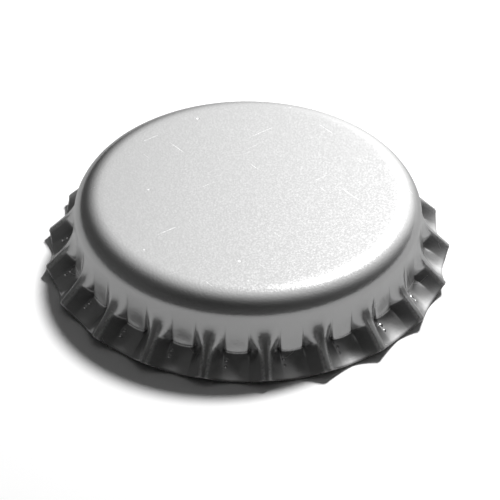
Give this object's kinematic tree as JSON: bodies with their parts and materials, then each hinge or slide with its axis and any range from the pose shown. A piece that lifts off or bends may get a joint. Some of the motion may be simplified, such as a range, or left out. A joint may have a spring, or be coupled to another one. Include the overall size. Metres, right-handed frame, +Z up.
{
  "type": "crown bottle cap",
  "caption": "Round pressed steel crown cap with a flat panel, a corrugated toothed skirt and a moulded seal inside, for closing a bottle's mouth.",
  "frame": {"origin": "on the cap's axis, at the level of the surface that the skirt's feet stand on", "axes": "+Z up along the cap's axis through the middle of the panel, +X through a tooth"},
  "size_m": [0.0319, 0.032, 0.0063],
  "materials": {
    "shell": "satin tinplate",
    "seal": "soft moulded polymer"
  },
  "bodies": {
    "root": {"shell": "shell", "seal": "seal"}
  },
  "joints": []
}
